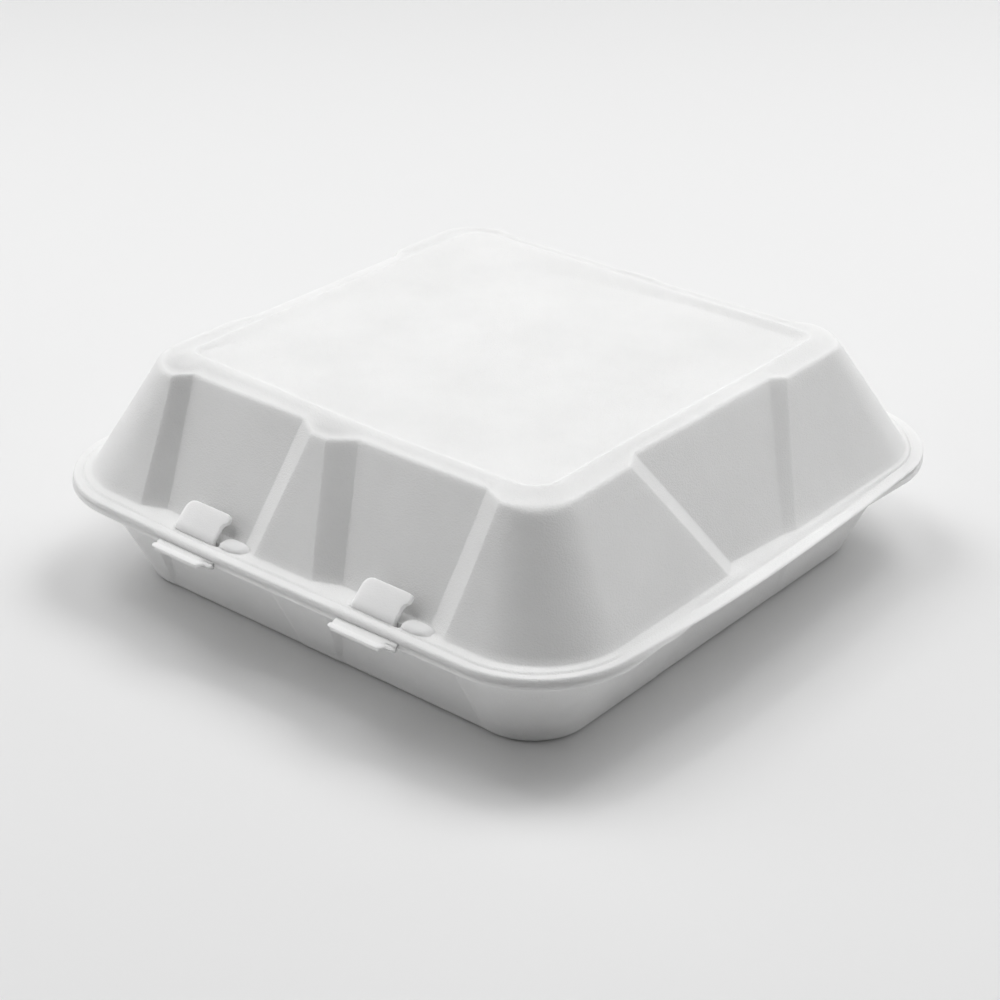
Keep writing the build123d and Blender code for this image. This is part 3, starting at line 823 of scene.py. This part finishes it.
# Thumb lips: height of their middle surface, in millimetres before their root or as shares of their reach
LIP_PROFILE = (
    (-4.0, 35.4), (-1.5, 35.35), (-0.4, 35.25), (0.0, 35.1), (0.3, 34.75),
    (0.5, 34.5), (0.62, 34.55), (0.74, 34.75), (0.86, 34.7), (1.0, 34.45),
)


def make_lip(name, left):
    """Thumb lip that stands out below the tray's flange in front of a tab, with a ridge along its edge."""
    start = left - LIP_LEFT_ROOM
    turn = left + TAB_WIDTH + LIP_RIGHT_ROOM
    end = turn + LIP_NARROW_LENGTH
    xs = divide([start, start + LIP_END, turn - 0.4, turn + 1.6, end - LIP_END, end], [4, 14, 6, 5, 4])
    rows = []
    for share, height in LIP_PROFILE:
        row = []
        for x in xs:
            beside = float(soft_ramp(x - turn, 1.4, 0.5))
            reach = LIP_REACH - (LIP_REACH - LIP_NARROW_REACH) * beside
            if x < start + LIP_END:
                reach *= 0.75 + 0.25 * ((x - start) / LIP_END) ** 0.5
            if x > end - LIP_END:
                reach *= 0.6 + 0.4 * ((end - x) / LIP_END) ** 0.5
            y = LIP_ROOT - share * reach if share > 0 else LIP_ROOT - share
            row.append((x, y, height))
        rows.append(row)
    return sheet_from_rows(name, rows, FLANGE_THICKNESS, 0.35)


# Raised pads on the lid's flange, to the right of the tabs
PAD_LEFT_ROOM = 1.6
PAD_FRONT = -109.8
PAD_BACK = -103.4
PAD_LENGTH = 11.5
PAD_HEIGHT = 1.05
PAD_SUNK = 0.45


def make_pad(name, left):
    """Soft raised pad of foam on the lid's flange, to the right of a tab."""
    first = left + TAB_WIDTH + PAD_LEFT_ROOM
    middle = (PAD_FRONT + PAD_BACK) / 2
    rows = []
    for share in (0.0, 0.1, 0.22, 0.36, 0.5, 0.64, 0.78, 0.9, 1.0):
        side = 2 * share - 1
        row = []
        for k in range(19):
            along = k / 18
            taper = 1 - 0.35 * smooth((along - 0.5) / 0.5)
            rounding = 1 - max(1 - along / 0.22, 0) ** 2.2
            half = (PAD_BACK - PAD_FRONT) / 2 * taper * math.sqrt(max(rounding, 0.02))
            ends = (1 - max(1 - along / 0.16, 0) ** 3) * (1 - smooth((along - 0.7) / 0.3))
            height = PAD_HEIGHT * (1 - side ** 4) * ends
            row.append((first + PAD_LENGTH * along, middle + half * side, LID_RIM_TOP - PAD_SUNK + height))
        rows.append(row)
    return sheet_from_rows(name, rows, 0.8, 0.2)


# Hinge fold: half an ellipse round the back edges of both flanges, tucked in at its ends
FOLD_HALF_LENGTH = 76.0
FOLD_RUN = 1.7
FOLD_RISE = 1.15
FOLD_OVERLAP = 0.6
FOLD_TUCK = 1.9
FOLD_TUCK_LENGTH = 8


def make_hinge_fold():
    """Thin foam fold that joins the two flanges along the back edge."""
    rows = []
    for k in range(13):
        angle = math.radians(-90 + 15 * k)
        y = FLANGE_HALF_Y - FOLD_OVERLAP + FOLD_RUN * math.cos(angle)
        z = HINGE_Z + FOLD_RISE * math.sin(angle)
        row = []
        for j in range(61):
            x = FOLD_HALF_LENGTH * (j / 30 - 1)
            tuck = FOLD_TUCK * (1 - float(smooth((FOLD_HALF_LENGTH - abs(x)) / FOLD_TUCK_LENGTH)))
            row.append((x, y - tuck + 0.12 * math.sin(j * 1.7), z))
        rows.append(row)
    return sheet_from_rows("hinge_fold", rows, 0.6, 0.2)


def foam_material(name, dark, light, strength):
    """White bead foam: matt, with fine pressed beads and slow changes of tone between two greys."""
    mat = bpy.data.materials.new(name)
    mat.use_nodes = True
    nodes = mat.node_tree.nodes
    links = mat.node_tree.links
    shader = nodes["Principled BSDF"]
    coords = nodes.new("ShaderNodeTexCoord")
    beads = nodes.new("ShaderNodeTexVoronoi")
    beads.inputs["Scale"].default_value = 1900
    links.new(coords.outputs["Object"], beads.inputs["Vector"])
    grain = nodes.new("ShaderNodeTexNoise")
    grain.inputs["Scale"].default_value = 1500
    grain.inputs["Detail"].default_value = 5
    grain.inputs["Roughness"].default_value = 0.6
    links.new(coords.outputs["Object"], grain.inputs["Vector"])
    height = nodes.new("ShaderNodeMath")
    height.operation = "MULTIPLY_ADD"
    links.new(grain.outputs["Fac"], height.inputs[0])
    height.inputs[1].default_value = 1.1
    links.new(beads.outputs["Distance"], height.inputs[2])
    bump = nodes.new("ShaderNodeBump")
    bump.inputs["Strength"].default_value = strength
    bump.inputs["Distance"].default_value = 0.0003
    links.new(height.outputs[0], bump.inputs["Height"])
    links.new(bump.outputs["Normal"], shader.inputs["Normal"])
    tone = nodes.new("ShaderNodeTexNoise")
    tone.inputs["Scale"].default_value = 28
    tone.inputs["Detail"].default_value = 3
    links.new(coords.outputs["Object"], tone.inputs["Vector"])
    ramp = nodes.new("ShaderNodeValToRGB")
    ramp.color_ramp.elements[0].position = 0.3
    ramp.color_ramp.elements[0].color = (dark, dark, dark * 0.995, 1)
    ramp.color_ramp.elements[1].position = 0.7
    ramp.color_ramp.elements[1].color = (light, light, light * 0.995, 1)
    links.new(tone.outputs["Fac"], ramp.inputs["Fac"])
    links.new(ramp.outputs["Color"], shader.inputs["Base Color"])
    shader.inputs["Roughness"].default_value = 0.62
    shader.inputs["Specular IOR Level"].default_value = 0.35
    shader.inputs["Subsurface Weight"].default_value = 0.7
    shader.inputs["Subsurface Radius"].default_value = (1.0, 1.0, 1.0)
    shader.inputs["Subsurface Scale"].default_value = 0.004
    return mat


def floor_material():
    """Plain matt floor of a pale grey."""
    mat = bpy.data.materials.new("pale_floor")
    mat.use_nodes = True
    shader = mat.node_tree.nodes["Principled BSDF"]
    shader.inputs["Base Color"].default_value = (0.8, 0.8, 0.8, 1)
    shader.inputs["Roughness"].default_value = 0.7
    shader.inputs["Specular IOR Level"].default_value = 0.2
    return mat


# Half the floor's width and how far it lies below the tray, in metres
FLOOR_HALF = 6.0
FLOOR_GAP = 0.0001


def add_floor():
    """Wide flat floor just below the tray."""
    mesh = bpy.data.meshes.new("floor")
    s = FLOOR_HALF
    mesh.from_pydata([(-s, -s, 0), (s, -s, 0), (s, s, 0), (-s, s, 0)], [], [(0, 1, 2, 3)])
    floor = link("floor", mesh)
    floor.data.materials.append(floor_material())
    floor.location.z = -FLOOR_GAP


# Softboxes round the object: for each elevation, azimuths with their power in watts
LIGHT_POWERS = {
    64: {90: 8.7, 180: 5.9, 45: 4.3, 225: 3.5},
    89: {0: 0.5},
    42: {180: 3.8, 60: 2.3, 210: 1.6, 0: 0.7},
    24: {90: 1.6},
    8: {210: 4.7, 30: 2.9, 90: 1.3, 240: 1.2, 60: 1.1},
}

# Softboxes: distance, width and the heights that they circle and face, in metres
LIGHT_DISTANCE = 1.6
LIGHT_WIDTH = 0.8
LIGHT_CENTRE_Z = 0.1
LIGHT_TARGET_Z = 0.05
WORLD_STRENGTH = 0.06


def add_area_light(azimuth, elevation, power):
    """Square softbox that faces the object."""
    a = math.radians(azimuth)
    e = math.radians(elevation)
    direction = Vector((math.cos(a) * math.cos(e), math.sin(a) * math.cos(e), math.sin(e)))
    place = direction * LIGHT_DISTANCE + Vector((0, 0, LIGHT_CENTRE_Z))
    light = bpy.data.lights.new("softbox", "AREA")
    light.energy = power
    light.size = LIGHT_WIDTH
    obj = link("softbox", light)
    obj.location = place
    obj.rotation_mode = "QUATERNION"
    obj.rotation_quaternion = (Vector((0, 0, LIGHT_TARGET_Z)) - place).to_track_quat("-Z", "Y")


def add_world(strength):
    """Faint even light from all round."""
    world = bpy.data.worlds.new("studio")
    world.use_nodes = True
    background = world.node_tree.nodes["Background"]
    background.inputs["Color"].default_value = (1, 1, 1, 1)
    background.inputs["Strength"].default_value = strength
    bpy.context.scene.world = world


# Camera of the photograph: place in metres, direction and roll in degrees, lens in millimetres
CAMERA_PLACE = (0.45379, -0.55223, 0.39986)
CAMERA_AZIMUTH = 39.474
CAMERA_ELEVATION = 27.990
CAMERA_ROLL = 0.3105
CAMERA_LENS = 83.421


def add_camera():
    """Camera of the photograph: to the right of the latch side and looking down."""
    azimuth = math.radians(CAMERA_AZIMUTH)
    elevation = math.radians(CAMERA_ELEVATION)
    roll = math.radians(CAMERA_ROLL)
    level = math.cos(elevation)
    back = Vector((math.sin(azimuth) * level, -math.cos(azimuth) * level, math.sin(elevation)))
    right = Vector((math.cos(azimuth), math.sin(azimuth), 0))
    up = back.cross(right)
    rolled_right = right * math.cos(roll) + up * math.sin(roll)
    rolled_up = up * math.cos(roll) - right * math.sin(roll)
    camera = bpy.data.cameras.new("camera")
    camera.lens = CAMERA_LENS
    camera.sensor_width = 36
    camera.clip_end = 50
    obj = link("camera", camera)
    turn = Matrix((rolled_right, rolled_up, back)).transposed().to_4x4()
    obj.matrix_world = Matrix.Translation(CAMERA_PLACE) @ turn
    bpy.context.scene.camera = obj


lid = closed_mesh("foam_lid", lid_rings())
flex(lid)
cut_slots(lid)
tray = closed_mesh("foam_tray", tray_rings())
flex(tray)
foam = foam_material("bead_foam", 0.82, 0.88, 0.3)
# Whiter copy of the foam for the tabs and pads: painted light that stands in for the light shining through
# these thin parts
painted_light_foam = foam_material("painted_light_foam", 0.93, 0.96, 0.12)
tabs = []
lips = []
pads = []
for number, left in enumerate(TAB_LEFTS, 1):
    tabs.append(make_tab(f"latch_tab_{number}", left, number))
    lips.append(make_lip(f"thumb_lip_{number}", left))
    pads.append(make_pad(f"flange_pad_{number}", left))
hinge = make_hinge_fold()
# Tabs and pads get the whiter foam, whose extra brightness is painted light
for piece in [lid, tray, hinge] + tabs + lips + pads:
    piece.data.materials.clear()
    piece.data.materials.append(painted_light_foam if piece in tabs + pads else foam)
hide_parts("lid")
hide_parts("tray")
for piece in [lid] + pads:
    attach(piece, "lid_body")
for piece in [tray] + tabs + lips:
    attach(piece, "tray_body")
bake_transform(hinge)

add_floor()
add_world(WORLD_STRENGTH)
add_camera()
for elevation, powers in LIGHT_POWERS.items():
    for azimuth, power in powers.items():
        add_area_light(azimuth, elevation, power)
bpy.context.scene.view_settings.view_transform = "Standard"
